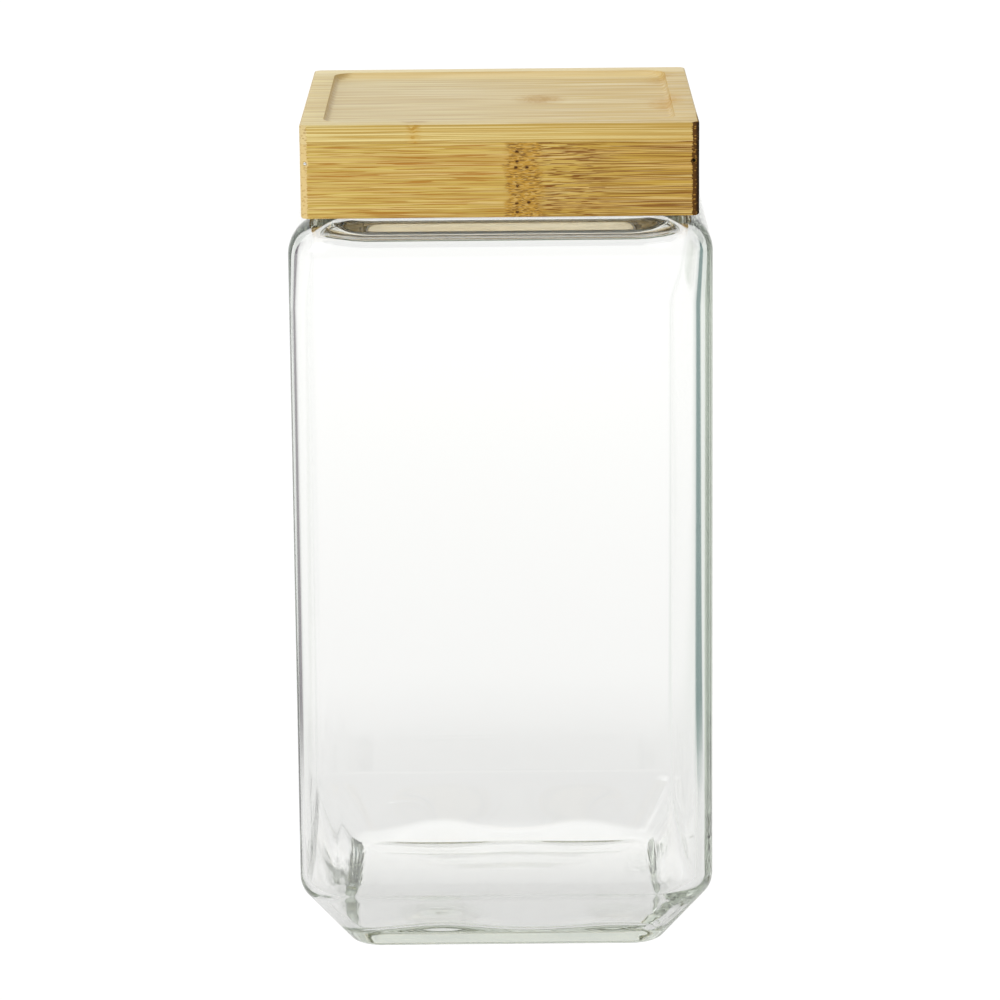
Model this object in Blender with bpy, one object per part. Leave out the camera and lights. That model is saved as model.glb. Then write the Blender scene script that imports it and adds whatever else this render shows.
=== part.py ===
"""Square glass storage jar with a bamboo lid, as separate pieces at their real size.

Metres, +Z up. The origin is the centre of the foot, on the plane that the jar stands on.
The lid's pieces hang from one empty, which slides straight up when the lid is pulled off.
"""
import math

import bpy
import bmesh

MM = 0.001

# Gap left between faces that touch or are glued on the real object.
SEAT_GAP = 0.3 * MM

# Glass body, outside.
JAR_WIDTH = 112.8 * MM
JAR_CORNER = 12.0 * MM
SHOULDER_TOP = 203.5 * MM
CHAMFER_IN = 14.2 * MM
CHAMFER_UP = 19.0 * MM
CHAMFER_BLEND = 9.0 * MM
FOOT_CORNER = 7.5 * MM
FOOT_BLEND = 3.5 * MM

# Glass body, inside and underneath.
WALL = 3.5 * MM
FOOT_WALL = 4.4 * MM
BASE = 6.5 * MM
FLOOR_BLEND = 5.0 * MM
BEARING_WIDTH = 6.0 * MM
PUSH_UP = 1.2 * MM
PUSH_UP_RUN = 16.0 * MM
PUSH_UP_BLEND = 30.0 * MM
BEARING_CORNER = 7.0 * MM
PANEL_CORNER = 4.0 * MM

# Neck of the glass, which the lid hides.
NECK_CORNER = 14.0 * MM
NECK_FILLET = 1.5 * MM
RIM_BLEND = 1.6 * MM
SHOULDER_FLAT = 0.2 * MM

# Lid: a board on four strips, and how it stands to the glass.
LID_SETBACK = 3.9 * MM
LID_CORNER = 2.3 * MM
LID_EASE = 0.4 * MM
BOARD_THICKNESS = 5.0 * MM
RAIL_HEIGHT = 19.6 * MM
RAIL_THICKNESS = 5.0 * MM
SKIRT_CLEARANCE = 2.0 * MM
SKIRT_LIFT = 1.3 * MM

# Recess in the board's top, where the foot of another jar can stand.
RECESS_MARGIN = 6.0 * MM
RECESS_DEPTH = 1.6 * MM
RECESS_CORNER = 6.0 * MM
COVE_RUN = 1.8 * MM

# Brads that pin the front and back strips to the ends of the side strips.
BRAD_DIAMETER = 0.9 * MM
BRAD_LENGTH = 14.0 * MM
BRAD_TIP = 1.2 * MM
BRAD_TIP_DIAMETER = 0.3 * MM
BRAD_SETBACK = 1.45 * MM
BRAD_HEIGHT = 14.7 * MM
BRAD_SINK = 0.3 * MM
BRAD_SIDES = 12

# Plug and seal.
SEAL_FLANGE = 1.6 * MM
SEAL_FLANGE_SETBACK = 0.5 * MM
SEAL_SLEEVE = 1.3 * MM
SEAL_DEPTH = 9.0 * MM
FIN_REACH = 2.3 * MM
FIN_THICKNESS = 1.0 * MM
FIN_RISE = 0.7 * MM
FIN_COUNT = 2
PLUG_LIP = 2.5 * MM
PLUG_LIP_REACH = 1.2 * MM
PLUG_EASE = 0.8 * MM

# Facets in a quarter turn of a corner seen from above, and in each blend of a profile.
CORNER_STEPS = 8
BLEND_STEPS = 4
SHOULDER_STEPS = 7

# Places that follow from the sizes above.
JAR_HALF = JAR_WIDTH / 2
FOOT_HALF = JAR_HALF - CHAMFER_IN
LID_HALF = JAR_HALF - LID_SETBACK
NECK_HALF = LID_HALF - RAIL_THICKNESS - SKIRT_CLEARANCE
MOUTH_HALF = NECK_HALF - WALL
LID_BOTTOM = SHOULDER_TOP + SKIRT_LIFT
BOARD_BOTTOM = RAIL_HEIGHT + SEAT_GAP
BOARD_TOP = BOARD_BOTTOM + BOARD_THICKNESS
RIM_TOP = LID_BOTTOM + BOARD_BOTTOM - SEAL_FLANGE - 2 * SEAT_GAP


def clear_scene():
    """Remove whatever the opened file holds."""
    for item in list(bpy.data.objects):
        bpy.data.objects.remove(item, do_unlink=True)


def finish(name, colour, roughness, transmission=0.0, ior=1.5, metallic=0.0):
    """A Principled material of one linear colour."""
    material = bpy.data.materials.new(name)
    material.use_nodes = True
    shader = material.node_tree.nodes["Principled BSDF"]
    shader.inputs["Base Color"].default_value = (*colour, 1.0)
    shader.inputs["Roughness"].default_value = roughness
    shader.inputs["Metallic"].default_value = metallic
    shader.inputs["IOR"].default_value = ior
    shader.inputs["Transmission Weight"].default_value = transmission
    material.diffuse_color = (*colour, 1.0)
    return material


def rounded_square(half, corner, height):
    """Ring of points round a square with rounded corners, counter-clockwise from above."""
    points = []
    for quarter, (side_x, side_y) in enumerate(((1, 1), (-1, 1), (-1, -1), (1, -1))):
        for step in range(CORNER_STEPS + 1):
            angle = (quarter + step / CORNER_STEPS) * math.pi / 2
            x = side_x * (half - corner) + corner * math.cos(angle)
            y = side_y * (half - corner) + corner * math.sin(angle)
            points.append((x, y, height))
    return points


def blended(profile):
    """Profile of (half width, height, corner) points with its turns rounded.

    Each given point is (half width, height, corner radius seen from above, blend, steps).
    A blend of zero keeps the point sharp.
    """
    rounded = [profile[0][:3]]
    for before, here, after in zip(profile, profile[1:], profile[2:]):
        blend, steps = here[3:]
        if blend == 0:
            rounded.append(here[:3])
            continue
        back = [before[axis] - here[axis] for axis in range(3)]
        ahead = [after[axis] - here[axis] for axis in range(3)]
        length_back = math.hypot(back[0], back[1])
        length_ahead = math.hypot(ahead[0], ahead[1])
        cosine = (back[0] * ahead[0] + back[1] * ahead[1]) / (length_back * length_ahead)
        turn = math.pi - math.acos(cosine)
        reach = blend * math.tan(turn / 2)
        start = [here[axis] + back[axis] * reach / length_back for axis in range(3)]
        end = [here[axis] + ahead[axis] * reach / length_ahead for axis in range(3)]
        for step in range(steps + 1):
            sweep = step / steps
            weight_start = math.sin((1 - sweep) * turn) / math.sin(turn)
            weight_end = math.sin(sweep * turn) / math.sin(turn)
            centre_weight = 1 - weight_start - weight_end
            middle = [(start[axis] + end[axis]) / 2 for axis in range(3)]
            to_centre = blend / math.cos(turn / 2) / math.dist(middle[:2], here[:2])
            centre = [here[axis] + (middle[axis] - here[axis]) * to_centre for axis in range(3)]
            corner = start[2] + (end[2] - start[2]) * sweep
            point = [
                weight_start * start[axis] + weight_end * end[axis] + centre_weight * centre[axis]
                for axis in range(2)
            ]
            rounded.append((point[0], point[1], corner))
    rounded.append(profile[-1][:3])
    return rounded


def loft(name, rings, closed=False):
    """Mesh of faces from each ring to the next, with its two ends filled, or joined if closed."""
    shape = bmesh.new()
    rows = [[shape.verts.new(point) for point in ring] for ring in rings]
    pairs = list(zip(rows, rows[1:]))
    if closed:
        pairs.append((rows[-1], rows[0]))
    else:
        shape.faces.new(reversed(rows[0]))
        shape.faces.new(rows[-1])
    count = len(rows[0])
    for low, high in pairs:
        for start in range(count):
            end = (start + 1) % count
            shape.faces.new((low[start], low[end], high[end], high[start]))
    mesh = bpy.data.meshes.new(name)
    shape.to_mesh(mesh)
    shape.free()
    mesh.shade_smooth()
    mesh.set_sharp_from_angle(angle=math.radians(35))
    return mesh


def place(name, mesh, material, parent=None, turn=0.0):
    """Object of a mesh, with its own material, turned about +Z and hung from its parent."""
    item = bpy.data.objects.new(name, mesh)
    bpy.context.scene.collection.objects.link(item)
    item.parent = parent
    item.rotation_euler = (0, 0, turn)
    item.material_slots[0].link = "OBJECT"
    item.material_slots[0].material = material
    return item


def slotted(mesh):
    """Give a mesh one empty material slot, so that each object can fill its own."""
    mesh.materials.append(None)
    return mesh


def glass_jar():
    """Pressed and blown glass: foot, chamfer, wall, shoulder, neck and rim, then back down inside."""
    inner_half = JAR_HALF - WALL
    inner_corner = JAR_CORNER - WALL
    mouth_corner = NECK_CORNER - WALL
    bearing_half = FOOT_HALF - BEARING_WIDTH
    panel_half = bearing_half - PUSH_UP_RUN
    panel_middle = panel_half / 2

    # The chamfer's inner face lies parallel to its outer one, FOOT_WALL away from it.
    slope = CHAMFER_UP / CHAMFER_IN
    inner_offset = FOOT_WALL * math.hypot(1, slope) / slope
    floor_half = FOOT_HALF - inner_offset + BASE / slope
    inner_chamfer_top = (inner_half - FOOT_HALF + inner_offset) * slope

    shoulder_blend = JAR_HALF - NECK_HALF - NECK_FILLET - SHOULDER_FLAT
    inner_shoulder_top = SHOULDER_TOP - WALL
    inner_shoulder_blend = inner_half - MOUTH_HALF - NECK_FILLET - SHOULDER_FLAT
    profile = [
        (panel_middle, PUSH_UP, PANEL_CORNER, 0, 0),
        (panel_half, PUSH_UP, PANEL_CORNER, PUSH_UP_BLEND, BLEND_STEPS),
        (bearing_half, 0, BEARING_CORNER, PUSH_UP_BLEND, BLEND_STEPS),
        (FOOT_HALF, 0, FOOT_CORNER, FOOT_BLEND, BLEND_STEPS),
        (JAR_HALF, CHAMFER_UP, JAR_CORNER, CHAMFER_BLEND, BLEND_STEPS),
        (JAR_HALF, SHOULDER_TOP, JAR_CORNER, shoulder_blend, SHOULDER_STEPS),
        (NECK_HALF, SHOULDER_TOP, NECK_CORNER, NECK_FILLET, BLEND_STEPS),
        (NECK_HALF, RIM_TOP, NECK_CORNER, RIM_BLEND, BLEND_STEPS),
        (MOUTH_HALF, RIM_TOP, mouth_corner, RIM_BLEND, BLEND_STEPS),
        (MOUTH_HALF, inner_shoulder_top, mouth_corner, NECK_FILLET, BLEND_STEPS),
        (inner_half, inner_shoulder_top, inner_corner, inner_shoulder_blend, SHOULDER_STEPS),
        (inner_half, inner_chamfer_top, inner_corner, CHAMFER_BLEND, BLEND_STEPS),
        (floor_half, BASE, FOOT_CORNER, FLOOR_BLEND, BLEND_STEPS),
        (floor_half / 2, BASE, FOOT_CORNER, 0, 0),
    ]
    rings = [rounded_square(half, corner, height) for half, height, corner in blended(profile)]
    glass = finish("clear_glass", (0.86, 0.93, 0.90), 0.03, transmission=1.0, ior=1.52)
    return place("glass_jar", slotted(loft("glass_jar", rings)), glass)


def lid_top_board(lid):
    """Flat-laid bamboo board with eased top edges and a milled recess with coved walls."""
    recess_half = LID_HALF - RECESS_MARGIN
    floor_height = BOARD_TOP - RECESS_DEPTH
    rings = [
        rounded_square(LID_HALF, LID_CORNER, BOARD_BOTTOM),
        rounded_square(LID_HALF, LID_CORNER, BOARD_TOP - LID_EASE),
        rounded_square(LID_HALF - LID_EASE, LID_CORNER - LID_EASE, BOARD_TOP),
        rounded_square(recess_half, RECESS_CORNER, BOARD_TOP),
    ]
    for step in range(1, BLEND_STEPS + 1):
        angle = step / BLEND_STEPS * math.pi / 2
        inward = COVE_RUN * (1 - math.cos(angle))
        height = BOARD_TOP - RECESS_DEPTH * math.sin(angle)
        rings.append(rounded_square(recess_half - inward, RECESS_CORNER - inward, height))
    rings.append(rounded_square(recess_half - 2 * RECESS_CORNER, RECESS_CORNER, floor_height))
    bamboo = finish("bamboo_board", (0.72, 0.52, 0.27), 0.5)
    return place("lid_top_board", slotted(loft("lid_top_board", rings)), bamboo, lid)


def front_rail_outline(inset, height):
    """Ring round a full-width strip at -Y, with its two outer corners rounded.

    The inset draws in the outer face and the two ends, and leaves the inner face where it is.
    """
    half = LID_HALF - inset
    corner = LID_CORNER - inset
    points = []
    for side, start in ((-1, math.pi), (1, 1.5 * math.pi)):
        for step in range(CORNER_STEPS + 1):
            angle = start + step / CORNER_STEPS * math.pi / 2
            x = side * (half - corner) + corner * math.cos(angle)
            y = corner - half + corner * math.sin(angle)
            points.append((x, y, height))
    inner_y = RAIL_THICKNESS - LID_HALF
    points.append((half, inner_y, height))
    points.append((-half, inner_y, height))
    return points


def side_rail_outline(inset, height):
    """Ring round a strip at +X that fits between the front and back strips."""
    inner_x = LID_HALF - RAIL_THICKNESS
    end_y = inner_x - SEAT_GAP
    outer_x = LID_HALF - inset
    return [
        (inner_x, -end_y, height),
        (outer_x, -end_y, height),
        (outer_x, end_y, height),
        (inner_x, end_y, height),
    ]


def lid_rails(lid):
    """Four bamboo strips on edge, butt jointed under the board, with eased lower edges."""
    rails = {}
    for pair, outline, turns in (
        (("lid_front_rail", "lid_back_rail"), front_rail_outline, (0, math.pi)),
        (("lid_right_rail", "lid_left_rail"), side_rail_outline, (0, math.pi)),
    ):
        levels = ((LID_EASE, 0), (0, LID_EASE), (0, RAIL_HEIGHT))
        mesh = slotted(loft(pair[0], [outline(inset, height) for inset, height in levels]))
        for name, turn in zip(pair, turns):
            bamboo = finish(name.replace("lid", "bamboo"), (0.56, 0.36, 0.14), 0.5)
            rails[name] = place(name, mesh, bamboo, lid, turn)
    return rails


def rod_ring(diameter, depth):
    """Ring of points round +Y, at a depth along it."""
    angles = [side / BRAD_SIDES * 2 * math.pi for side in range(BRAD_SIDES)]
    return [(diameter / 2 * math.sin(angle), depth, diameter / 2 * math.cos(angle)) for angle in angles]


def corner_brads(lid, rails):
    """A steel brad in each corner, driven through the front or back strip into a side strip's end."""
    brad = slotted(loft("corner_brad", [
        rod_ring(BRAD_DIAMETER, 0),
        rod_ring(BRAD_DIAMETER, BRAD_LENGTH - BRAD_TIP),
        rod_ring(BRAD_TIP_DIAMETER, BRAD_LENGTH),
    ]))
    bore_diameter = BRAD_DIAMETER + 2 * SEAT_GAP
    bore_mesh = loft("brad_bore", [
        rod_ring(bore_diameter, -RAIL_THICKNESS),
        rod_ring(bore_diameter, BRAD_LENGTH + SEAT_GAP),
    ])
    head_depth = LID_HALF - BRAD_SINK
    for end, outward, turn in (("front", -1, 0), ("back", 1, math.pi)):
        for side, across in (("left", -1), ("right", 1)):
            spot = (across * (LID_HALF - BRAD_SETBACK), outward * head_depth, BRAD_HEIGHT)
            steel = finish("bright_steel", (0.60, 0.60, 0.58), 0.3, metallic=1.0)
            pin = place(f"brad_{end}_{side}", brad, steel, lid, turn)
            pin.location = spot
            bore = bpy.data.objects.new(f"bore_{end}_{side}", bore_mesh)
            bpy.context.scene.collection.objects.link(bore)
            bore.parent = lid
            bore.location = spot
            bore.rotation_euler = (0, 0, turn)
            bore.hide_render = True
            bore.display_type = "WIRE"
            for rail in (rails[f"lid_{end}_rail"], rails[f"lid_{side}_rail"]):
                cut = rail.modifiers.new(bore.name, "BOOLEAN")
                cut.operation = "DIFFERENCE"
                cut.solver = "EXACT"
                cut.object = bore


def mouth_ring(half, height):
    """Ring that runs parallel to the mouth, at any distance from it."""
    return rounded_square(half, NECK_CORNER - (NECK_HALF - half), height)


def lid_plug_board(lid, groove_half, groove_bottom):
    """Square bamboo plug under the board, with a groove for the seal and an eased lip below it."""
    lip_half = groove_half + PLUG_LIP_REACH
    plug_bottom = groove_bottom - PLUG_LIP
    rings = [
        mouth_ring(lip_half - PLUG_EASE, plug_bottom),
        mouth_ring(lip_half, plug_bottom + PLUG_EASE),
        mouth_ring(lip_half, groove_bottom),
        mouth_ring(groove_half, groove_bottom),
        mouth_ring(groove_half, BOARD_BOTTOM - SEAT_GAP),
    ]
    bamboo = finish("bamboo_plug", (0.66, 0.47, 0.24), 0.55)
    return place("lid_plug_board", slotted(loft("lid_plug_board", rings)), bamboo, lid)


def seal_ring(lid, sleeve_half, sleeve_bottom):
    """Silicone seal: a sleeve round the plug, fins towards the mouth, a flange over the rim."""
    outer_half = sleeve_half + SEAL_SLEEVE
    flange_half = NECK_HALF - SEAL_FLANGE_SETBACK
    flange_top = BOARD_BOTTOM - SEAT_GAP
    flange_bottom = flange_top - SEAL_FLANGE
    section = [(sleeve_half, sleeve_bottom), (outer_half, sleeve_bottom)]
    fin_pitch = (flange_bottom - sleeve_bottom) / (FIN_COUNT + 0.5)
    for fin in range(FIN_COUNT):
        root = sleeve_bottom + (fin + 0.5) * fin_pitch
        section.append((outer_half, root))
        section.append((sleeve_half + SEAL_SLEEVE + FIN_REACH, root + FIN_RISE))
        section.append((sleeve_half + SEAL_SLEEVE + FIN_REACH, root + FIN_RISE + FIN_THICKNESS / 2))
        section.append((outer_half, root + FIN_THICKNESS))
    section.append((outer_half, flange_bottom))
    section.append((flange_half, flange_bottom))
    section.append((flange_half, flange_top))
    section.append((sleeve_half, flange_top))
    rings = [mouth_ring(half, height) for half, height in section]
    silicone = finish("clear_silicone", (0.80, 0.82, 0.80), 0.4, transmission=0.3, ior=1.41)
    return place("seal_ring", slotted(loft("seal_ring", rings, closed=True)), silicone, lid)


def lid_assembly():
    """The lid's pieces, in its own frame: height zero is the lower edge of the rails."""
    lid = bpy.data.objects.new("lid_lift_axis", None)
    bpy.context.scene.collection.objects.link(lid)
    lid.location = (0, 0, LID_BOTTOM)
    sleeve_half = MOUTH_HALF - SEAT_GAP - FIN_REACH - SEAL_SLEEVE
    sleeve_bottom = RIM_TOP - LID_BOTTOM + SEAT_GAP - SEAL_DEPTH
    lid_top_board(lid)
    corner_brads(lid, lid_rails(lid))
    lid_plug_board(lid, sleeve_half - SEAT_GAP, sleeve_bottom - SEAT_GAP)
    seal_ring(lid, sleeve_half, sleeve_bottom)


clear_scene()
glass_jar()
lid_assembly()
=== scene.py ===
"""Looks of a square glass storage jar with a bamboo lid, dressed over its CAD frame."""
import math

import bpy
import bmesh
from mathutils import Matrix, Vector, noise


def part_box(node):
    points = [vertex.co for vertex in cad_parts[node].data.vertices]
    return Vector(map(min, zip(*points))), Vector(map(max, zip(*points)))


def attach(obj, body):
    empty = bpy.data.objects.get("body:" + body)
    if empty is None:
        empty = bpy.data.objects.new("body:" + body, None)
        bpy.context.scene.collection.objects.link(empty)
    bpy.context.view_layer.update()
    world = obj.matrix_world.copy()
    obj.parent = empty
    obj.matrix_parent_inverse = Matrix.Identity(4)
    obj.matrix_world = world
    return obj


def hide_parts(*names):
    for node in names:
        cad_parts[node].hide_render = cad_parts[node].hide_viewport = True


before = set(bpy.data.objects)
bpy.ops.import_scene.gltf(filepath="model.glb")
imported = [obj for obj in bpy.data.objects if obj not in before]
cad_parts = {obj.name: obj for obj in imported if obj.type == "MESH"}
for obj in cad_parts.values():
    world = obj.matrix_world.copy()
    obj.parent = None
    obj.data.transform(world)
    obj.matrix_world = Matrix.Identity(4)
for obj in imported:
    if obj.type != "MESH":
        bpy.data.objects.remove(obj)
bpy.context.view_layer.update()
scene = bpy.context.scene
MM = 0.001


# Camera and studio.
# The jar is photographed from a little above its own height with a long lens, and cut out on pure white.
# The set is white all round, brightest from the left. Two dark flags behind the jar draw the glass's edges.

def linear(code):
    """Linear colour of an sRGB hex value such as D8C091."""
    channels = [int(code[place:place + 2], 16) / 255 for place in (0, 2, 4)]
    return [c / 12.92 if c <= 0.04045 else ((c + 0.055) / 1.055) ** 2.4 for c in channels] + [1.0]


def add(tree, kind, sockets=None, **settings):
    """Add a node, apply its settings, and fill or link its input sockets. Return the node."""
    node = tree.nodes.new(kind)
    for name, value in settings.items():
        setattr(node, name, value)
    for socket, source in (sockets or {}).items():
        if isinstance(source, bpy.types.NodeSocket):
            tree.links.new(source, node.inputs[socket])
        else:
            node.inputs[socket].default_value = source
    return node


def rise(tree, value, start, full):
    """Soft step from 0 at start to 1 at full, or the other way down where full is below start."""
    low, high = (0.0, 1.0) if full > start else (1.0, 0.0)
    return add(tree, "ShaderNodeMapRange", {
        "Value": value, "From Min": min(start, full), "From Max": max(start, full),
        "To Min": low, "To Max": high}, interpolation_type="SMOOTHSTEP").outputs["Result"]


def product(tree, *factors):
    """All the factors multiplied together."""
    result = factors[0]
    for factor in factors[1:]:
        result = add(tree, "ShaderNodeMath", {0: result, 1: factor}, operation="MULTIPLY").outputs[0]
    return result


def new_finish(name):
    """New material with nodes. Return it with its node tree."""
    material = bpy.data.materials.new(name)
    material.use_nodes = True
    return material, material.node_tree


def placed(name, data):
    """New object of a mesh, a light or a camera, linked to the scene."""
    piece = bpy.data.objects.new(name, data)
    scene.collection.objects.link(piece)
    return piece


PHOTO_WIDTH_PX = 1000
FOCAL_PX = 4579
CAMERA_PLACE = Vector((3.0, -1241.8, 409.2)) * MM
# How far the camera is turned to the left, dipped below level and leaned over, in degrees.
CAMERA_TURN = 0.18
CAMERA_DIP = 13.28
CAMERA_LEAN = -0.56
LIGHT_BOUNCES = 48
camera_data = bpy.data.cameras.new("camera")
camera_data.sensor_width = 36
camera_data.lens = camera_data.sensor_width * FOCAL_PX / PHOTO_WIDTH_PX
camera_data.clip_end = 50
camera = placed("camera", camera_data)
scene.camera = camera
turned = Matrix.Rotation(math.radians(CAMERA_TURN), 4, "Z")
dipped = Matrix.Rotation(math.radians(90 - CAMERA_DIP), 4, "X")
leaned = Matrix.Rotation(math.radians(CAMERA_LEAN), 4, "Z")
camera.matrix_world = Matrix.Translation(CAMERA_PLACE) @ turned @ dipped @ leaned

scene.view_settings.view_transform = "Standard"
scene.cycles.max_bounces = LIGHT_BOUNCES
scene.cycles.transmission_bounces = LIGHT_BOUNCES
scene.cycles.glossy_bounces = LIGHT_BOUNCES

# Directions from the jar: 0 degrees is straight behind it, and 90 is square to either side.
FLAG_START = math.radians(53)
FLAG_END = math.radians(82)
FLAG_SOFT = math.radians(3)
LEFT_FLAG_LEAD = math.radians(8)
SCREEN_START = math.radians(18)
SCREEN_FULL = math.radians(28)
SCREEN_END = math.radians(85)
SCREEN_GONE = math.radians(100)
SCREEN_DEPTH = 0.24


def flagged(tree, across, along, share):
    """Colour of the set by direction from the jar: white, with grey screens and two dark flags."""
    wide = add(tree, "ShaderNodeMath", {0: across}, operation="ABSOLUTE").outputs[0]
    angle = add(tree, "ShaderNodeMath", {0: wide, 1: along}, operation="ARCTAN2").outputs[0]
    left = add(tree, "ShaderNodeMath", {0: across, 1: 0.0}, operation="LESS_THAN").outputs[0]
    led = add(tree, "ShaderNodeMath", {
        0: left, 1: LEFT_FLAG_LEAD, 2: angle}, operation="MULTIPLY_ADD").outputs[0]
    flag = product(tree, rise(tree, led, FLAG_START - FLAG_SOFT, FLAG_START + FLAG_SOFT),
                   rise(tree, led, FLAG_END + FLAG_SOFT, FLAG_END - FLAG_SOFT), share)
    screen = product(tree, rise(tree, angle, SCREEN_START, SCREEN_FULL),
                     rise(tree, angle, SCREEN_GONE, SCREEN_END), share, SCREEN_DEPTH)
    white = add(tree, "ShaderNodeMixRGB", {
        "Fac": screen, 1: linear("FFFFFE"), 2: linear("8CA890")}).outputs[0]
    cloth = add(tree, "ShaderNodeMixRGB", {
        "Fac": left, 1: linear("5A7C7A"), 2: linear("7C767C")}).outputs[0]
    return add(tree, "ShaderNodeMixRGB", {"Fac": flag, 1: white, 2: cloth}).outputs[0]


LIGHT_LEFT = 1.1
LIGHT_RIGHT = 0.75
LIGHT_FRONT = 0.62
LIGHT_BACK = 1.0
# The flags end overhead: the upward part of the direction where they are full, and where they are gone.
FLAGS_FULL = 0.4
FLAGS_GONE = 0.7
world = bpy.data.worlds.new("studio")
scene.world = world
world.use_nodes = True
sky = world.node_tree
sky.nodes.clear()
direction = add(sky, "ShaderNodeTexCoord").outputs["Generated"]
parts = add(sky, "ShaderNodeSeparateXYZ", {0: direction})
side_light = add(sky, "ShaderNodeMapRange", {
    "Value": parts.outputs["X"], "From Min": -1.0, "From Max": 1.0,
    "To Min": LIGHT_LEFT, "To Max": LIGHT_RIGHT})
depth_light = add(sky, "ShaderNodeMapRange", {
    "Value": parts.outputs["Y"], "From Min": -1.0, "From Max": 0.6,
    "To Min": LIGHT_FRONT, "To Max": LIGHT_BACK})
low_down = rise(sky, parts.outputs["Z"], FLAGS_GONE, FLAGS_FULL)
set_colour = flagged(sky, parts.outputs["X"], parts.outputs["Y"], low_down)
strength = product(sky, side_light.outputs[0], depth_light.outputs[0])
glow = add(sky, "ShaderNodeBackground", {"Color": set_colour, "Strength": strength})
add(sky, "ShaderNodeOutputWorld", {"Surface": glow.outputs[0]})

SOFTBOX_PLACE = Vector((-1.3, -1.1, 1.7))
SOFTBOX_AIM = Vector((0, 0, 0.1))
softbox_data = bpy.data.lights.new("softbox", "AREA")
softbox_data.shape = "RECTANGLE"
softbox_data.size = 1.6
softbox_data.size_y = 1.2
softbox_data.energy = 12
softbox = placed("softbox", softbox_data)
softbox.location = SOFTBOX_PLACE
softbox.rotation_euler = (SOFTBOX_AIM - SOFTBOX_PLACE).to_track_quat("-Z", "Y").to_euler()

PAPER_HALF = 9.0
PAPER_DROP = 0.1 * MM
PAPER_GLOW = 0.70
# Painted shade and light in the paper's glow by the distance from the jar's middle, a painted shadow under
# the jar and lighter further out: (start and full in metres, gain).
PAPER_SHADE_GAINS = [(0.075, 0.05, -0.10), (0.12, 0.26, 0.11), (0.15, 1.0, 0.09)]
PAINTED_LIGHT_BEHIND = 0.30
PAINTED_LIGHT_IN_FRONT = 0.05
GAIN_FOR_MATT = 2.4
# Where each zone of the paper starts and is full, in metres from the jar's middle.
BEHIND_MIDDLE = (-0.01, 0.04)
UNDER_JAR = (0.076, 0.052)
IN_FRONT = (-0.1, -0.35)
NEAR_JAR = (0.26, 0.12)
UNDER_FLAGS = (0.14, 0.28)
paper_corners = [(-1, -1), (1, -1), (1, 1), (-1, 1)]
paper_mesh = bpy.data.meshes.new("studio_paper")
paper_mesh.from_pydata([(x * PAPER_HALF, y * PAPER_HALF, -PAPER_DROP) for x, y in paper_corners],
                       [], [(0, 1, 2, 3)])
paper = placed("studio_paper", paper_mesh)
# Matt white paper: seen past the jar it is burnt out to pure white, and through the jar it shows painted
# shade and light in its glow.
paper_finish, tree = new_finish("matt_white_paper")
place = add(tree, "ShaderNodeTexCoord").outputs["Object"]
fibre = add(tree, "ShaderNodeTexNoise", {"Vector": place, "Scale": 900.0, "Detail": 3.0})
tone = add(tree, "ShaderNodeMixRGB", {"Fac": fibre.outputs["Fac"], 1: linear("686867"), 2: linear("6C6C6B")})
axes = add(tree, "ShaderNodeSeparateXYZ", {0: place})
reach = add(tree, "ShaderNodeVectorMath", {0: place}, operation="LENGTH").outputs["Value"]
# Painted shadow under the jar and painted light further out, with a painted pool of light just behind the jar
# and a little painted light in front.
gains = [product(tree, rise(tree, reach, start, full), gain) for start, full, gain in PAPER_SHADE_GAINS]
gains.append(product(tree, rise(tree, axes.outputs["Y"], *BEHIND_MIDDLE),
                     rise(tree, reach, *UNDER_JAR), PAINTED_LIGHT_BEHIND))
gains.append(product(tree, rise(tree, axes.outputs["Y"], *IN_FRONT), PAINTED_LIGHT_IN_FRONT))
# For matt surfaces the paper near the jar glows more than the glass shows, to light the lid's underside.
for_matt = add(tree, "ShaderNodeLightPath").outputs["Diffuse Depth"]
gains.append(product(tree, rise(tree, for_matt, 0.2, 0.8), rise(tree, reach, *NEAR_JAR), GAIN_FOR_MATT))
own_light = PAPER_GLOW
for gain in gains:
    own_light = add(tree, "ShaderNodeMath", {0: own_light, 1: gain}, operation="ADD").outputs[0]
# Painted grey screens and dark flags in the paper's glow, by direction, away from the jar.
set_colour = flagged(tree, axes.outputs["X"], axes.outputs["Y"], rise(tree, reach, *UNDER_FLAGS))
shader = tree.nodes["Principled BSDF"]
tree.links.new(tone.outputs[0], shader.inputs["Base Color"])
tree.links.new(own_light, shader.inputs["Emission Strength"])
tree.links.new(set_colour, shader.inputs["Emission Color"])
shader.inputs["Roughness"].default_value = 0.9
shader.inputs["Specular IOR Level"].default_value = 0.2
burnt_out = add(tree, "ShaderNodeEmission", {"Color": linear("FFFFFF"), "Strength": 1.05})
seen = add(tree, "ShaderNodeLightPath").outputs["Is Camera Ray"]
choice = add(tree, "ShaderNodeMixShader", {0: seen, 1: shader.outputs[0], 2: burnt_out.outputs[0]})
tree.links.new(choice.outputs[0], tree.nodes["Material Output"].inputs["Surface"])
paper_mesh.materials.append(paper_finish)


# Glass jar.
# One gather of soda-lime glass, pressed and blown in a square mould: even outside, wavy inside.
# The floor swells where the glass settled, and the inner corners keep small ripples above it.

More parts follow.
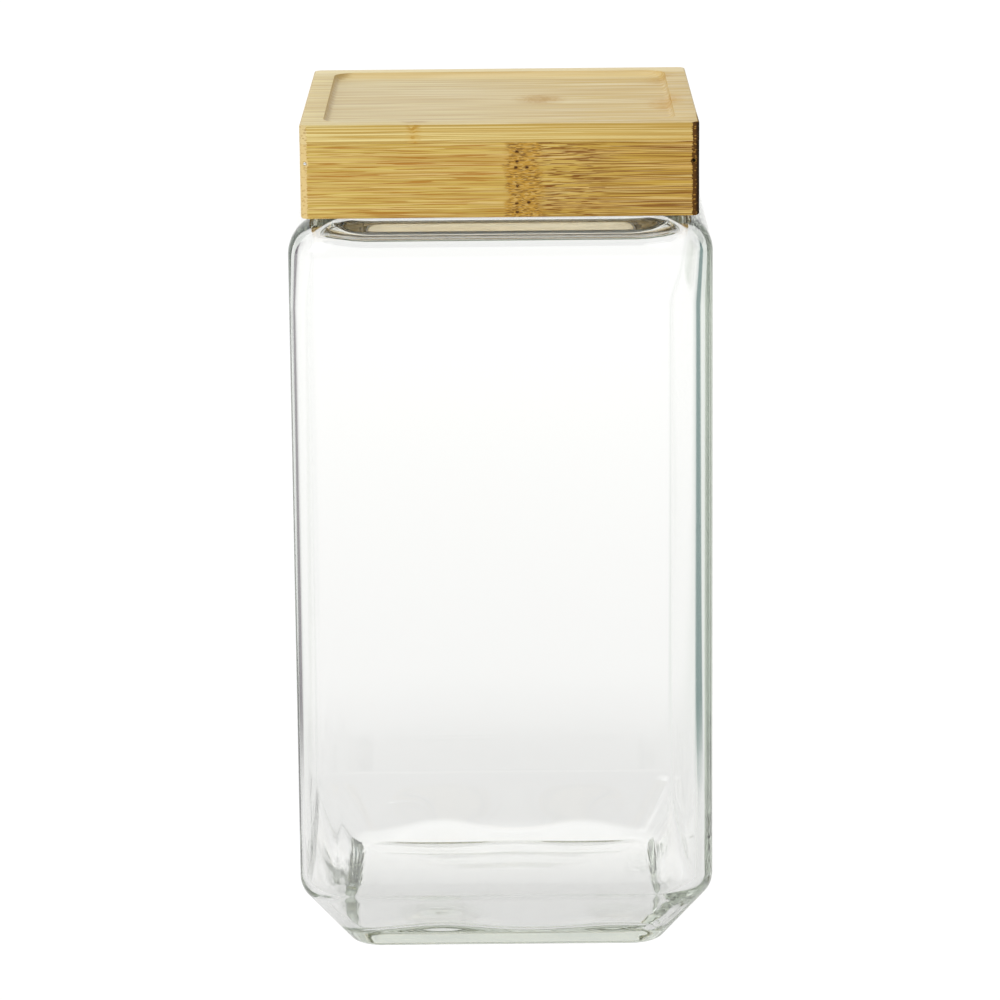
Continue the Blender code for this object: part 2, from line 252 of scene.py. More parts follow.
BODY_HALF = (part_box("glass_jar")[1].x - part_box("glass_jar")[0].x) / 2
RIM_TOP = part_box("glass_jar")[1].z
BODY_CORNER = 12.0 * MM
SHOULDER_TOP = 203.5 * MM
CHAMFER_IN = 14.2 * MM
CHAMFER_UP = 19.0 * MM
CHAMFER_BLEND = 9.0 * MM
FOOT_CORNER = 7.5 * MM
FOOT_BLEND = 3.5 * MM
BODY_WALL = 2.9 * MM
INNER_CORNER = 8.9 * MM
INNER_SHIFT = -1.0 * MM
SHOULDER_EXTRA = 1.7 * MM
SHOULDER_RUN = 12.0 * MM
SHOULDER_THICK = 36.0 * MM
SHOULDER_THIN = 50.0 * MM
SHOULDER_FADE_START = 1.0 * MM
SHOULDER_FADE_END = 6.0 * MM
NECK_WALL = 3.5 * MM
FOOT_WALL = 3.1 * MM
BASE = 5.9 * MM
FLOOR_BLEND = 4.0 * MM
BEARING_WIDTH = 6.0 * MM
BEARING_CORNER = 7.0 * MM
PUSH_UP = 0.4 * MM
PUSH_UP_RUN = 22.0 * MM
PUSH_UP_BLEND = 60.0 * MM
PANEL_CORNER = 4.0 * MM
MIDDLE_HALF = 4.0 * MM
NECK_HALF = 45.5 * MM
NECK_CORNER = 14.0 * MM
NECK_FILLET = 1.5 * MM
NECK_FADE = 20.0 * MM
RIM_BLEND = 1.6 * MM
SHOULDER_FLAT = 0.2 * MM
JAR_ARC_STEPS = 14
JAR_FLAT_STEPS = 26
OUTER_STEP = 3.0 * MM
INNER_STEP = 1.5 * MM


def square_ring(half, corner, arc_steps, flat_steps):
    """Points (x, y) round a rounded square, counter-clockwise, with steps on its arcs and its flats."""
    ring = []
    centre = half - corner
    for quarter in range(4):
        turn = Matrix.Rotation(quarter * math.pi / 2, 2)
        for step in range(arc_steps):
            angle = step / arc_steps * math.pi / 2
            ring.append(turn @ Vector((centre + corner * math.cos(angle), centre + corner * math.sin(angle))))
        for step in range(flat_steps):
            ring.append(turn @ Vector((centre * (1 - 2 * step / flat_steps), half)))
    return ring


def blended(profile):
    """Round each turn of a profile of (half width, height, corner, blend, steps) points."""
    rounded = [profile[0][:3]]
    for before, here, after in zip(profile, profile[1:], profile[2:]):
        blend, steps = here[3:]
        point = Vector(here[:3])
        back = Vector(before[:3]) - point
        ahead = Vector(after[:3]) - point
        turn = math.pi - back.xy.angle(ahead.xy)
        reach = blend * math.tan(turn / 2)
        start = point + back * (reach / back.xy.length)
        end = point + ahead * (reach / ahead.xy.length)
        middle = (start + end) / 2
        to_centre = blend / math.cos(turn / 2) / (middle - point).xy.length
        centre = point + (middle - point) * to_centre
        for step in range(steps + 1):
            sweep = step / steps
            weight_start = math.sin((1 - sweep) * turn) / math.sin(turn)
            weight_end = math.sin(sweep * turn) / math.sin(turn)
            on_arc = start * weight_start + end * weight_end + centre * (1 - weight_start - weight_end)
            rounded.append((on_arc.x, on_arc.y, start.z + (end.z - start.z) * sweep))
    rounded.append(profile[-1][:3])
    return rounded


def spread(profile, longest):
    """Add points so that no step of a profile is longer than the given length."""
    filled = [profile[0]]
    for start, end in zip(profile, profile[1:]):
        pieces = max(1, math.ceil(math.dist(start[:2], end[:2]) / longest))
        for piece in range(1, pieces + 1):
            share = piece / pieces
            filled.append(tuple(a + (b - a) * share for a, b in zip(start, end)))
    return filled


def skin(name, rings, closed=False):
    """Mesh of quads from ring to ring, with flat ends, or joined round if closed."""
    shape = bmesh.new()
    rows = [[shape.verts.new(point) for point in ring] for ring in rings]
    pairs = list(zip(rows, rows[1:]))
    if closed:
        pairs.append((rows[-1], rows[0]))
    else:
        shape.faces.new(reversed(rows[0]))
        shape.faces.new(rows[-1])
    count = len(rows[0])
    for low, high in pairs:
        for start in range(count):
            end = (start + 1) % count
            shape.faces.new((low[start], low[end], high[end], high[start]))
    mesh = bpy.data.meshes.new(name)
    shape.to_mesh(mesh)
    shape.free()
    mesh.shade_smooth()
    return mesh


slope = CHAMFER_UP / CHAMFER_IN
foot_half = BODY_HALF - CHAMFER_IN
inner_half = BODY_HALF - BODY_WALL
mouth_half = NECK_HALF - NECK_WALL
mouth_corner = NECK_CORNER - NECK_WALL
inner_offset = FOOT_WALL * math.hypot(1, slope) / slope
floor_half = foot_half - inner_offset + BASE / slope
inner_chamfer_top = (inner_half - foot_half + inner_offset) * slope
bearing_half = foot_half - BEARING_WIDTH
panel_half = bearing_half - PUSH_UP_RUN
shoulder_blend = BODY_HALF - NECK_HALF - NECK_FILLET - SHOULDER_FLAT
inner_shoulder_top = SHOULDER_TOP - BODY_WALL
shoulder_centre = (BODY_HALF - shoulder_blend, SHOULDER_TOP - shoulder_blend)
outer_profile = [
    (MIDDLE_HALF, PUSH_UP, PANEL_CORNER / 2, 0, 0),
    (panel_half, PUSH_UP, PANEL_CORNER, PUSH_UP_BLEND, 8),
    (bearing_half, 0.0, BEARING_CORNER, PUSH_UP_BLEND, 6),
    (foot_half, 0.0, FOOT_CORNER, FOOT_BLEND, 10),
    (BODY_HALF, CHAMFER_UP, BODY_CORNER, CHAMFER_BLEND, 12),
    (BODY_HALF, SHOULDER_TOP, BODY_CORNER, shoulder_blend, 20),
    (NECK_HALF, SHOULDER_TOP, NECK_CORNER, NECK_FILLET, 6),
    (NECK_HALF, RIM_TOP, NECK_CORNER, RIM_BLEND, 8),
    (mouth_half, RIM_TOP, mouth_corner, 0, 0),
]
inner_profile = [
    (NECK_HALF, RIM_TOP, NECK_CORNER, 0, 0),
    (mouth_half, RIM_TOP, mouth_corner, RIM_BLEND, 8),
    (mouth_half, inner_shoulder_top, mouth_corner, NECK_FILLET, 6),
    (inner_half, inner_shoulder_top, INNER_CORNER, shoulder_blend - BODY_WALL, 18),
    (inner_half, inner_chamfer_top, INNER_CORNER, CHAMFER_BLEND - BODY_WALL, 12),
    (floor_half, BASE, FOOT_CORNER, FLOOR_BLEND, 12),
    (MIDDLE_HALF, BASE, PANEL_CORNER / 2, 0, 0),
]
outer_rows = spread(blended(outer_profile), OUTER_STEP)[:-1]
inner_rows = spread(blended(inner_profile), INNER_STEP)[1:]

# Waves of the inner skin: (height, waves per metre across, waves per metre up, shift along X).
SLOW_WAVE = (0.09 * MM, 20, 10, 0)
QUICK_WAVE = (0.12 * MM, 70, 90, 5)
FINE_WAVE = (0.22 * MM, 230, 200, 9)
RIPPLE_FADE = 18 * MM
RIPPLE_SIDE_START = 37 * MM
RIPPLE_SIDE_FULL = 42 * MM
# How far out on a diagonal the corner's ripples start and are full, in half widths of the body.
RIPPLE_CORNER_START = 1.45
RIPPLE_CORNER_FULL = 1.85
# Humps of the floor's edge on each side of the jar: (place along the wall, rise, half width).
FLOOR_HUMPS = {
    "front": [(-17 * MM, 2.2 * MM, 14 * MM), (31 * MM, 1.6 * MM, 14 * MM)],
    "back": [(-18 * MM, 3.4 * MM, 12 * MM), (23 * MM, 2.8 * MM, 11 * MM)],
    "right": [(-14 * MM, 0.5 * MM, 14 * MM), (25 * MM, 0.7 * MM, 11 * MM)],
    "left": [(5 * MM, 0.6 * MM, 18 * MM)],
}
HUMP_REACH = 13 * MM
HUMP_START = 34 * MM
HUMP_FULL = 41 * MM


def ramp(value, start, full):
    """Smooth rise of a number from 0 at start to 1 at full."""
    share = min(1.0, max(0.0, (value - start) / (full - start)))
    return share * share * (3 - 2 * share)


def wave(point, height, kind):
    """One kind of wave at a place on the inner skin."""
    size, across, up, shift = kind
    return size * noise.noise(Vector((point.x * across + shift, point.y * across, height * up)))


def inner_wave(point, height):
    """How far the inner skin stands out of true: slow waves, and ripples low down at the sides."""
    low_down = math.exp(-height / RIPPLE_FADE)
    diagonal = (abs(point.x) + abs(point.y)) / BODY_HALF
    corner = ramp(diagonal, RIPPLE_CORNER_START, RIPPLE_CORNER_FULL)
    side = ramp(abs(point.x), RIPPLE_SIDE_START, RIPPLE_SIDE_FULL)
    ripples = wave(point, height, QUICK_WAVE) * corner + wave(point, height, FINE_WAVE) * side
    return wave(point, height, SLOW_WAVE) + ripples * low_down


def shoulder_weight(point, half, height):
    """How far the skin is drawn in and down where the shoulder is thick, along the front and the back."""
    if abs(point.x) > abs(point.y):
        return 0.0, 0.0
    thick = SHOULDER_EXTRA * ramp(abs(point.x), SHOULDER_THIN, SHOULDER_THICK)
    thick *= ramp(height, shoulder_centre[1] - SHOULDER_RUN, shoulder_centre[1])
    thick *= ramp(height, SHOULDER_TOP + SHOULDER_FADE_END, SHOULDER_TOP - SHOULDER_FADE_START)
    lean = math.atan2(max(0.0, height - shoulder_centre[1]), max(0.0, half - shoulder_centre[0]))
    return thick * math.cos(lean), thick * math.sin(lean)


def floor_swell(point, height):
    """Rise of the floor's edge where the glass settled thicker and crept up the wall."""
    if abs(point.y) > abs(point.x):
        side, along = ("back" if point.y > 0 else "front"), point.x
    else:
        side, along = ("right" if point.x > 0 else "left"), point.y
    humps = 0.0
    for spot, lift, half_width in FLOOR_HUMPS[side]:
        humps += lift * math.exp(-((along - spot) / half_width) ** 2)
    near_edge = ramp(max(abs(point.x), abs(point.y)), HUMP_START, HUMP_FULL)
    return humps * near_edge * ramp(abs(height - BASE), HUMP_REACH, 0.0)


jar_rings = []
for half, height, corner in outer_rows:
    jar_rings.append([(p.x, p.y, height) for p in square_ring(half, corner, JAR_ARC_STEPS, JAR_FLAT_STEPS)])
for half, height, corner in inner_rows:
    ring = []
    below_neck = min(1.0, max(0.0, (inner_shoulder_top - height) / NECK_FADE))
    for p in square_ring(half, corner, JAR_ARC_STEPS, JAR_FLAT_STEPS):
        lift = floor_swell(p, height) * below_neck
        inward, down = shoulder_weight(p, half, height)
        moved = p + p.normalized() * inner_wave(p, height) * below_neck
        moved.y -= math.copysign(inward, p.y)
        ring.append((moved.x + INNER_SHIFT * below_neck, moved.y, height + lift - down))
    jar_rings.append(ring)
jar = placed("jar_glass", skin("jar_glass", jar_rings))

# Clear soda-lime glass, fire polished: no roughness at all, and a green cast only where it is seen edge on.
soda_glass, tree = new_finish("fire_polished_soda_lime_glass")
shader = tree.nodes["Principled BSDF"]
shader.inputs["Base Color"].default_value = linear("FFFFFF")
shader.inputs["Roughness"].default_value = 0.0
shader.inputs["IOR"].default_value = 1.52
shader.inputs["Transmission Weight"].default_value = 1.0
tint = add(tree, "ShaderNodeVolumeAbsorption", {"Color": linear("C3CFBC"), "Density": 7.5})
tree.links.new(tint.outputs[0], tree.nodes["Material Output"].inputs["Volume"])
jar.data.materials.append(soda_glass)
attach(jar, "jar")
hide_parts("glass_jar")


# Top board of the lid.
# Four flat-laid strips of bamboo, edge-glued into a 5 mm board, with a shallow coved recess milled in it.
# The board is glued down on the rails and sanded; the recess is a little paler than the rim round it.

board_low, board_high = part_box("lid_top_board")
LID_HALF = board_high.x
BOARD_TOP = board_high.z
BOARD_BOTTOM = board_low.z
LID_CORNER = 2.3 * MM
BOARD_EASE = 0.5 * MM
BOTTOM_NICK = 0.04 * MM
RECESS_HALF = LID_HALF - 6.0 * MM
RECESS_CORNER = 6.0 * MM
RECESS_DEPTH = 1.6 * MM
COVE_RUN = 1.8 * MM
BRIM_EASE = 0.25 * MM
BRIM_DROP = 0.06 * MM
MIDDLE_CORNER = 1.0 * MM
EASE_STEPS = 5
COVE_STEPS = 9
BOARD_ARC_STEPS = 10
BOARD_FLAT_STEPS = 12
SHARP_TURN = math.radians(50)

board_outline = [(LID_HALF - BOTTOM_NICK, BOARD_BOTTOM, LID_CORNER - BOTTOM_NICK),
                 (LID_HALF, BOARD_BOTTOM + BOTTOM_NICK, LID_CORNER)]
for step in range(EASE_STEPS + 1):
    angle = step / EASE_STEPS * math.pi / 2
    inset = BOARD_EASE * (1 - math.cos(angle))
    height = BOARD_TOP - BOARD_EASE + BOARD_EASE * math.sin(angle)
    board_outline.append((LID_HALF - inset, height, LID_CORNER - inset))
board_outline.append((RECESS_HALF + BRIM_EASE, BOARD_TOP, RECESS_CORNER + BRIM_EASE))
board_outline.append((RECESS_HALF, BOARD_TOP - BRIM_DROP, RECESS_CORNER))
for step in range(1, COVE_STEPS + 1):
    angle = step / COVE_STEPS * math.pi / 2
    inset = COVE_RUN * (1 - math.cos(angle))
    height = BOARD_TOP - RECESS_DEPTH * math.sin(angle)
    board_outline.append((RECESS_HALF - inset, height, RECESS_CORNER - inset))
board_outline.append((RECESS_HALF / 2, BOARD_TOP - RECESS_DEPTH, RECESS_CORNER / 2))
board_outline.append((MIDDLE_HALF, BOARD_TOP - RECESS_DEPTH, MIDDLE_CORNER))
board_rings = []
for half, height, corner in board_outline:
    ring = square_ring(half, corner, BOARD_ARC_STEPS, BOARD_FLAT_STEPS)
    board_rings.append([(p.x, p.y, height) for p in ring])
board = placed("bamboo_top_board", skin("bamboo_top_board", board_rings))
board.data.set_sharp_from_angle(angle=SHARP_TURN)


def grain_place(tree, turned=False):
    """Place on the piece in mm, with the fibres along X. A turned piece has its fibres along Y."""
    place = add(tree, "ShaderNodeTexCoord").outputs["Object"]
    place = add(tree, "ShaderNodeVectorMath", {0: place, "Scale": 1 / MM}, operation="SCALE").outputs[0]
    if turned:
        axes = add(tree, "ShaderNodeSeparateXYZ", {0: place})
        place = add(tree, "ShaderNodeCombineXYZ", {
            "X": axes.outputs["Y"], "Y": axes.outputs["X"], "Z": axes.outputs["Z"]}).outputs[0]
    return place


def waved(tree, place, along, across, height):
    """The place pushed up and down by slow waves, so that the fibres don't run dead straight."""
    stretched = add(tree, "ShaderNodeVectorMath", {
        0: place, 1: (1 / along, 1 / across, 1 / across)}, operation="MULTIPLY").outputs[0]
    swell = add(tree, "ShaderNodeTexNoise", {"Vector": stretched, "Scale": 1.0, "Detail": 1.0}).outputs["Fac"]
    push = add(tree, "ShaderNodeMapRange", {
        "Value": swell, "From Min": 0.0, "From Max": 1.0, "To Min": -height, "To Max": height}).outputs[0]
    lift = add(tree, "ShaderNodeCombineXYZ", {"Y": push, "Z": push}).outputs[0]
    return add(tree, "ShaderNodeVectorMath", {0: place, 1: lift}, operation="ADD").outputs[0]


def streaks(tree, place, length, width, start, full, shift=0.0):
    """Streaks of a length and width in mm along the fibres: 0 where the noise is at start and 1 at full."""
    squeezed = add(tree, "ShaderNodeVectorMath", {
        0: place, 1: (1 / length, 1 / width, 1 / width), 2: (shift, shift * 1.7, shift * 2.3)},
        operation="MULTIPLY_ADD").outputs[0]
    cells = add(tree, "ShaderNodeTexNoise", {
        "Vector": squeezed, "Scale": 1.0, "Detail": 1.0, "Roughness": 0.4}).outputs["Fac"]
    return rise(tree, cells, start, full)


def stained(tree, colour, code, mask, strength=1.0):
    """The colour with another laid over it where the mask is, at the given strength."""
    return add(tree, "ShaderNodeMixRGB", {
        "Fac": product(tree, mask, strength), 1: colour, 2: linear(code)}).outputs[0]


def spot(tree, place, centre, radii):
    """Soft round or oval mark on a piece: 1 at its centre and 0 at its edge. A radius of 0 has no edge."""
    away = add(tree, "ShaderNodeVectorMath", {0: place, 1: centre}, operation="SUBTRACT").outputs[0]
    scales = tuple(1 / radius if radius else 0.0 for radius in radii)
    shares = add(tree, "ShaderNodeVectorMath", {0: away, 1: scales}, operation="MULTIPLY").outputs[0]
    reach = add(tree, "ShaderNodeVectorMath", {0: shares}, operation="LENGTH").outputs["Value"]
    return rise(tree, reach, 1.0, 0.0)


def end_grain(tree, place, pale, dots, pitch=0.7, strength=0.7):
    """Cut ends of the fibre bundles: round dots of one colour on another, at a pitch in mm."""
    flat = add(tree, "ShaderNodeVectorMath", {
        0: place, 1: (0.1, 1 / pitch, 1 / pitch)}, operation="MULTIPLY").outputs[0]
    cells = add(tree, "ShaderNodeTexVoronoi", {"Vector": flat, "Scale": 1.0, "Randomness": 0.8})
    return stained(tree, linear(pale), dots, rise(tree, cells.outputs["Distance"], 0.45, 0.2), strength)


def facing(tree, axis, start, full):
    """How squarely a surface faces along an axis, either way, as a soft mask."""
    normal = add(tree, "ShaderNodeNewGeometry").outputs["Normal"]
    part = add(tree, "ShaderNodeSeparateXYZ", {0: normal}).outputs[axis]
    size = add(tree, "ShaderNodeMath", {0: part}, operation="ABSOLUTE").outputs[0]
    return rise(tree, size, start, full)


def scorched_and_shaded(tree, place):
    """Cut end browned by a hot saw and darkened with painted shade: tan dots of the fibre bundles on dark
    brown, with painted shade near black where it faces the side.
    """
    colour = end_grain(tree, place, "5E3C10", "BC8C3C", pitch=0.55, strength=0.8)
    return stained(tree, colour, "180A00", facing(tree, "X", 0.45, 0.85), 0.92)


def ragged_end(tree, place):
    """Mask of a strip's rounded end, whose border is ragged where the fibres break out."""
    ragged = product(tree, streaks(tree, place, 2.0, 0.3, 0.35, 0.65, 20.0), 0.28)
    fringe = add(tree, "ShaderNodeMath", {
        0: facing(tree, "X", 0.0, 0.6), 1: ragged}, operation="ADD").outputs[0]
    return rise(tree, fringe, 0.3, 0.4)


def beyond(tree, place, axis, distance):
    """Mask of what lies further than a distance in mm from the middle of the piece, either way."""
    part = add(tree, "ShaderNodeSeparateXYZ", {0: place}).outputs[axis]
    size = add(tree, "ShaderNodeMath", {0: part}, operation="ABSOLUTE").outputs[0]
    return add(tree, "ShaderNodeMath", {0: size, 1: distance}, operation="GREATER_THAN").outputs[0]


def within(tree, place, axis, distance):
    """Mask of what lies no further than a distance in mm from the middle of the piece."""
    outside = beyond(tree, place, axis, distance)
    return add(tree, "ShaderNodeMath", {0: 1.0, 1: outside}, operation="SUBTRACT").outputs[0]


# A scorched end, dark partly from scorch and partly from painted shade, is matt: this is added to its gloss
# mask, whose own range is from 0 to 1.
SCORCH_AND_SHADE_GLOSS = -4.0
MATT_ROUGHER = 0.54
FIBRE_SMOOTHER = 0.06
FIBRE_RELIEF = 0.03 * MM


def capped(tree, place, colour, fibres, at_end, right_end, pale, dots):
    """Lay end grain over the ends, the right one scorched and darkened with painted shade. Return the colour
    and the mask of the gloss.
    """
    cut_end = add(tree, "ShaderNodeMixRGB", {
        "Fac": right_end, 1: end_grain(tree, place, pale, dots), 2: scorched_and_shaded(tree, place)}).outputs[0]
    colour = add(tree, "ShaderNodeMixRGB", {"Fac": at_end, 1: colour, 2: cut_end}).outputs[0]
    dulled = product(tree, at_end, right_end, SCORCH_AND_SHADE_GLOSS)
    gloss = add(tree, "ShaderNodeMath", {0: fibres, 1: dulled}, operation="ADD").outputs[0]
    return colour, gloss


def oiled(tree, colour, relief, roughness, gloss_from=None):
    """Finish a bamboo surface: its colour, the low relief of its fibres, and a thin dull coat of oil."""
    shader = tree.nodes["Principled BSDF"]
    bump = add(tree, "ShaderNodeBump", {"Height": relief, "Strength": 0.6, "Distance": FIBRE_RELIEF})
    gloss = add(tree, "ShaderNodeMapRange", {
        "Value": gloss_from or relief, "From Min": SCORCH_AND_SHADE_GLOSS, "From Max": 1.0,
        "To Min": roughness + MATT_ROUGHER, "To Max": roughness - FIBRE_SMOOTHER}).outputs[0]
    tree.links.new(colour, shader.inputs["Base Color"])
    tree.links.new(bump.outputs[0], shader.inputs["Normal"])
    tree.links.new(gloss, shader.inputs["Roughness"])
    shader.inputs["Specular IOR Level"].default_value = 0.28


# Flat-laid bamboo, sanded and oiled: faint long fibres on the flat, crisp lines on the strips' edges.
# Its patterns are sized in mm, and placed in mm from the middle of the lid.
STRIP_WIDTH = 26.25
BRIM_FROM = 50.0
EDGE_FROM = 51.0
# How far below the top, in mm, the recess starts to turn paler, and where it is palest.
SUNKEN_START = 0.3
SUNKEN_FULL = 1.4
# Swirls of the strips' nodes on the top: (x, y, half length, half width, colour, strength).
NODE_MARKS = [
    (11.0, 2.0, 9.0, 13.0, "BC8A04", 0.9),
    (45.0, -10.0, 6.5, 15.0, "CC980C", 0.95),
    (-22.0, -45.5, 5.5, 6.5, "B27E08", 0.95),
    (45.0, 36.0, 6.0, 9.0, "C49420", 0.6),
]
flat_bamboo, tree = new_finish("sanded_flat_laid_bamboo")
place = grain_place(tree)
wavy = waved(tree, place, 45.0, 9.0, 0.8)
axes = add(tree, "ShaderNodeSeparateXYZ", {0: place})
strip = add(tree, "ShaderNodeMath", {
    0: axes.outputs["Y"], 1: STRIP_WIDTH, 2: 0.0}, operation="SNAP").outputs[0]
strip_tone = add(tree, "ShaderNodeTexWhiteNoise", {"W": strip}, noise_dimensions="1D").outputs["Value"]
to_right = rise(tree, axes.outputs["X"], -60.0, 60.0)
colour = stained(tree, linear("EEDC9C"), "DEC074", to_right)
colour = stained(tree, colour, "D4B66E", strip_tone, 0.45)
sunken = rise(tree, axes.outputs["Z"], BOARD_TOP / MM - SUNKEN_START, BOARD_TOP / MM - SUNKEN_FULL)
to_left = rise(tree, axes.outputs["X"], 30.0, -20.0)
colour = stained(tree, colour, "DED2AE", product(tree, sunken, to_left), 0.5)
fine = streaks(tree, wavy, 34.0, 0.34, 0.44, 0.62)
colour = stained(tree, colour, "B68C3C", fine, 0.45)
colour = stained(tree, colour, "C8A250", streaks(tree, wavy, 60.0, 2.0, 0.45, 0.62, 3.0), 0.45)
colour = stained(tree, colour, "F2E4BC", streaks(tree, wavy, 48.0, 0.9, 0.48, 0.64, 6.0), 0.6)
# Painted light: paler towards the back, over the back cove, which faces the light, and the back rim.
colour = stained(tree, colour, "FAEABC", rise(tree, axes.outputs["Y"], 40.0, 47.0), 0.6)
knotty = waved(tree, place, 3.0, 3.5, 2.2)
knot_lines = streaks(tree, knotty, 7.0, 0.8, 0.44, 0.58, 8.0)
for x, y, half_length, half_width, code, depth in NODE_MARKS:
    mark = spot(tree, wavy, (x, y, 0), (half_length, half_width, 0))
    colour = stained(tree, colour, code, product(tree, mark, knot_lines), depth)
    colour = stained(tree, colour, code, mark, depth / 2)
in_recess = within(tree, place, "Y", BRIM_FROM)
colour = stained(tree, colour, "F0D088", product(tree, facing(tree, "Y", 0.1, 0.6), in_recess), 0.3)
# Painted shade: the left cove wall, which faces away from the light, is darkened brown.
left_cove_shade = product(tree, facing(tree, "X", 0.1, 0.6), in_recess, rise(tree, axes.outputs["X"], 10.0, -10.0))
colour = stained(tree, colour, "BE9A5A", left_cove_shade, 0.5)
level = waved(tree, place, 60.0, 8.0, 0.25)
edge = stained(tree, linear("E8D692"), "B08420", streaks(tree, level, 140.0, 0.32, 0.46, 0.54, 5.0), 0.75)
edge = stained(tree, edge, "CCA850", streaks(tree, level, 40.0, 0.5, 0.5, 0.6, 9.0), 0.5)
edge = stained(tree, edge, "BC9440", to_right, 0.45)
edge_knot = spot(tree, knotty, (-22.5, 0, 0), (2.6, 0, 0))
edge = stained(tree, edge, "B0801E", product(tree, edge_knot, knot_lines), 0.9)
edge = stained(tree, edge, "D0A448", edge_knot, 0.35)
outer_edge = product(tree, facing(tree, "Y", 0.35, 0.75), beyond(tree, place, "Y", EDGE_FROM))
colour = add(tree, "ShaderNodeMixRGB", {"Fac": outer_edge, 1: colour, 2: edge}).outputs[0]
# The scorch and painted shade at the right end fade back from the front corner with a wavy border.
border = add(tree, "ShaderNodeSeparateXYZ", {0: waved(tree, place, 8.0, 3.0, 6.0)}).outputs["Y"]
right_end = product(tree, rise(tree, axes.outputs["X"], -1.0, 1.0), rise(tree, border, -30.0, -50.0))
outer_end = product(tree, ragged_end(tree, place), beyond(tree, place, "X", BRIM_FROM))
colour, gloss = capped(tree, place, colour, fine, outer_end, right_end, "DCC48C", "A07A3A")
oiled(tree, colour, fine, 0.42, gloss_from=gloss)
board.data.materials.append(flat_bamboo)
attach(board, "lid")
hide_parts("lid_top_board")


# Front and back rails of the lid.
# Bamboo strips on edge, 19.6 mm high, butted over the ends of the side rails and glued up under the board.
# Their outer corners are rounded, so the cut ends of the fibres show there; one node crosses the front rail.

RAIL_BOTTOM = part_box("lid_front_rail")[0].z
RAIL_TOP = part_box("lid_front_rail")[1].z
RAIL_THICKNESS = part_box("lid_front_rail")[1].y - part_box("lid_front_rail")[0].y
GLUE_LINE = 0.03 * MM
RAIL_EASE = 0.6 * MM
# Low waves that planing leaves on a face: their depth, and how many go into a metre along and up.
FACE_WAVE = 0.05 * MM
FACE_WAVES_ALONG = 60
FACE_WAVES_UP = 200
ROW_STEP = 0.2 * MM
WIDE_STEP = 1.0 * MM
FINE_STEP = 0.15 * MM
CORNER_STEPS = 20
BRAD_SETBACK = 1.45 * MM
BRAD_RADIUS = 0.45 * MM
BRAD_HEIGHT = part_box("brad_front_left")[0].z + BRAD_RADIUS
BRAD_PIT_RADIUS = 0.56 * MM
BRAD_PIT_DEPTH = 0.4 * MM
BRAD_COLUMNS = 4.0 * MM
# The node starts this far right of the rail's middle, in mm.
NODE_START = 1.6
# Small pits of the node's rootlets: (place along the rail, depth below the seam), in mm.
NODE_PITS = [(4.6, 2.4), (4.6, 5.0), (4.3, 6.6), (7.2, 6.6),
             (4.7, 11.6), (4.5, 16.1), (7.6, 15.9), (4.6, 18.5)]
PITS_FROM = 3.4 * MM
PITS_TO = 8.4 * MM
PIT_RADIUS = 0.3 * MM
PIT_DEPTH = 0.2 * MM


def rail_columns(with_node):
    """Places across a rail's face, close together where the node's pits are and by the brads at its ends."""
    half = LID_HALF - LID_CORNER
    columns = [-half]
    while columns[-1] < half - FINE_STEP:
        here = columns[-1]
        at_pits = with_node and PITS_FROM <= here <= PITS_TO
        fine = at_pits or abs(here) > LID_HALF - BRAD_COLUMNS
        columns.append(here + (FINE_STEP if fine else WIDE_STEP))
    return columns[:-1]


def eased_heights():
    """Heights of the rows up the eased lower edge of a rail."""
    turns = [step / EASE_STEPS * math.pi / 2 for step in range(EASE_STEPS + 1)]
    return [RAIL_BOTTOM + RAIL_EASE * (1 - math.cos(turn)) for turn in turns]


def eased_inset(height):
    """How far a rail's face is drawn in at a height by its eased lower edge."""
    below = max(0.0, RAIL_BOTTOM + RAIL_EASE - height)
    return RAIL_EASE - math.sqrt(max(0.0, RAIL_EASE ** 2 - below ** 2))


def face_wave(along, height, shift):
    """How far a rail's face is drawn in by the low waves that planing leaves."""
    swell = noise.noise(Vector((along * FACE_WAVES_ALONG, shift, height * FACE_WAVES_UP)))
    return FACE_WAVE * (0.5 + 0.5 * swell)


def end_rail(name, with_node):
    """Rail with rounded ends, facing -Y: its face is drawn in at the node's pits and round the brads."""
    centre = LID_HALF - LID_CORNER
    outline = []
    for step in range(CORNER_STEPS):
        angle = math.pi * (1 + step / CORNER_STEPS / 2)
        outline.append((-centre, math.cos(angle), math.sin(angle)))
    outline += [(x, 0.0, -1.0) for x in rail_columns(with_node)]
    for step in range(CORNER_STEPS + 1):
        angle = math.pi * (1.5 + step / CORNER_STEPS / 2)
        outline.append((centre, math.cos(angle), math.sin(angle)))
    heights = eased_heights()
    rows = int((RAIL_TOP - heights[-1]) / ROW_STEP)
    heights += [heights[-1] + ROW_STEP * row for row in range(1, rows)]
    heights.append(BOARD_BOTTOM - GLUE_LINE)
    inner_y = RAIL_THICKNESS - LID_HALF
    rings = []
    for height in heights:
        inset = eased_inset(height)
        ring = []
        for x, out_x, out_y in outline:
            dent = inset + face_wave(x, height, 3.0)
            at_x = x + LID_CORNER * out_x
            for along, down in NODE_PITS if with_node else []:
                apart = math.hypot(at_x - along * MM, BOARD_BOTTOM - down * MM - height)
                dent += PIT_DEPTH * math.exp(-(apart / PIT_RADIUS) ** 2)
            apart = math.hypot(abs(at_x) - (LID_HALF - BRAD_SETBACK), height - BRAD_HEIGHT)
            dent += BRAD_PIT_DEPTH / (1 + (apart / BRAD_PIT_RADIUS) ** 8) if out_y < 0 else 0.0
            ring.append((at_x - out_x * dent, (LID_CORNER - dent) * out_y - centre, height))
        ring.append((LID_HALF - inset, inner_y, height))
        ring.append((inset - LID_HALF, inner_y, height))
        rings.append(ring)
    mesh = skin(name, rings)
    mesh.set_sharp_from_angle(angle=SHARP_TURN)
    return mesh


